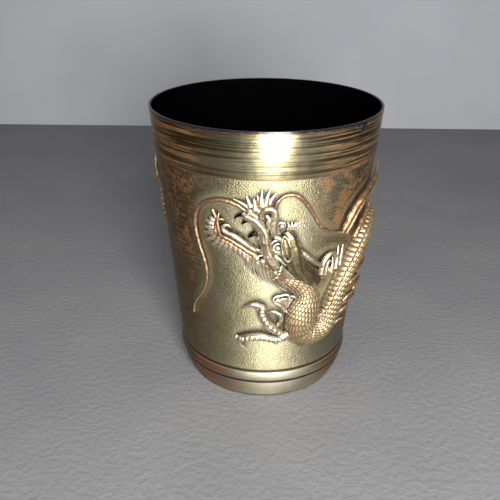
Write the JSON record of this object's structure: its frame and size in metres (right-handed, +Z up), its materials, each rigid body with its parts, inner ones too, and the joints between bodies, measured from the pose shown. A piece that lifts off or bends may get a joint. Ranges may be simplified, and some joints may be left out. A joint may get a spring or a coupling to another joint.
{
  "type": "relief dragon cup",
  "caption": "Tapered brass cup or brush pot with a dragon in high relief round its wall, a black lined inside and a turned foot ring",
  "frame": {"origin": "centre of the ring on which the foot rests", "axes": "+Z up along the cup's axis, -Y towards the side with the dragon's head, +X to the viewer's right"},
  "size_m": [0.0803, 0.0832, 0.1027],
  "materials": {
    "wall_brass": "aged, matt and finely stippled ground with a turned band",
    "foot_brass": "turned and aged",
    "relief_brass": "cast, aged dark in the hollows, rubbed bright on the high points",
    "liner_lacquer": "black lacquer, satin"
  },
  "bodies": {
    "root": {"beard": "relief_brass", "brow_knob": "relief_brass", "cheek_hair": "relief_brass", "cloud_scroll": "relief_brass", "cup_wall": "wall_brass", "dorsal_fin_back": "relief_brass", "dorsal_fin_front": "relief_brass", "dorsal_fin_rear": "relief_brass", "dragon_back_body": "relief_brass", "dragon_front_coil": "relief_brass", "dragon_lower_jaw": "relief_brass", "dragon_rear_body": "relief_brass", "dragon_rising_body": "relief_brass", "dragon_tail": "relief_brass", "dragon_upper_head": "relief_brass", "ear": "relief_brass", "eye": "relief_brass", "floor_plate": "foot_brass", "foot_ring": "foot_brass", "fore_claw_lower": "relief_brass", "fore_claw_upper": "relief_brass", "fore_paw": "relief_brass", "fore_thumb": "relief_brass", "fore_toe_lower": "relief_brass", "fore_toe_upper": "relief_brass", "hind_leg": "relief_brass", "hind_paw": "relief_brass", "horn_far": "relief_brass", "horn_near": "relief_brass", "inner_liner": "liner_lacquer", "jaw_knob": "relief_brass", "jaw_ribbons": "relief_brass", "mane": "relief_brass", "mane_curls": "relief_brass", "nose_tuft": "relief_brass", "shoulder_flame": "relief_brass", "shoulder_leg": "relief_brass", "shoulder_paw": "relief_brass", "tail_fan": "relief_brass", "throat": "relief_brass", "tongue": "relief_brass", "upper_fang_1": "relief_brass", "upper_fang_2": "relief_brass", "upper_fang_3": "relief_brass", "whisker_left": "relief_brass", "whisker_right": "relief_brass"}
  },
  "joints": []
}
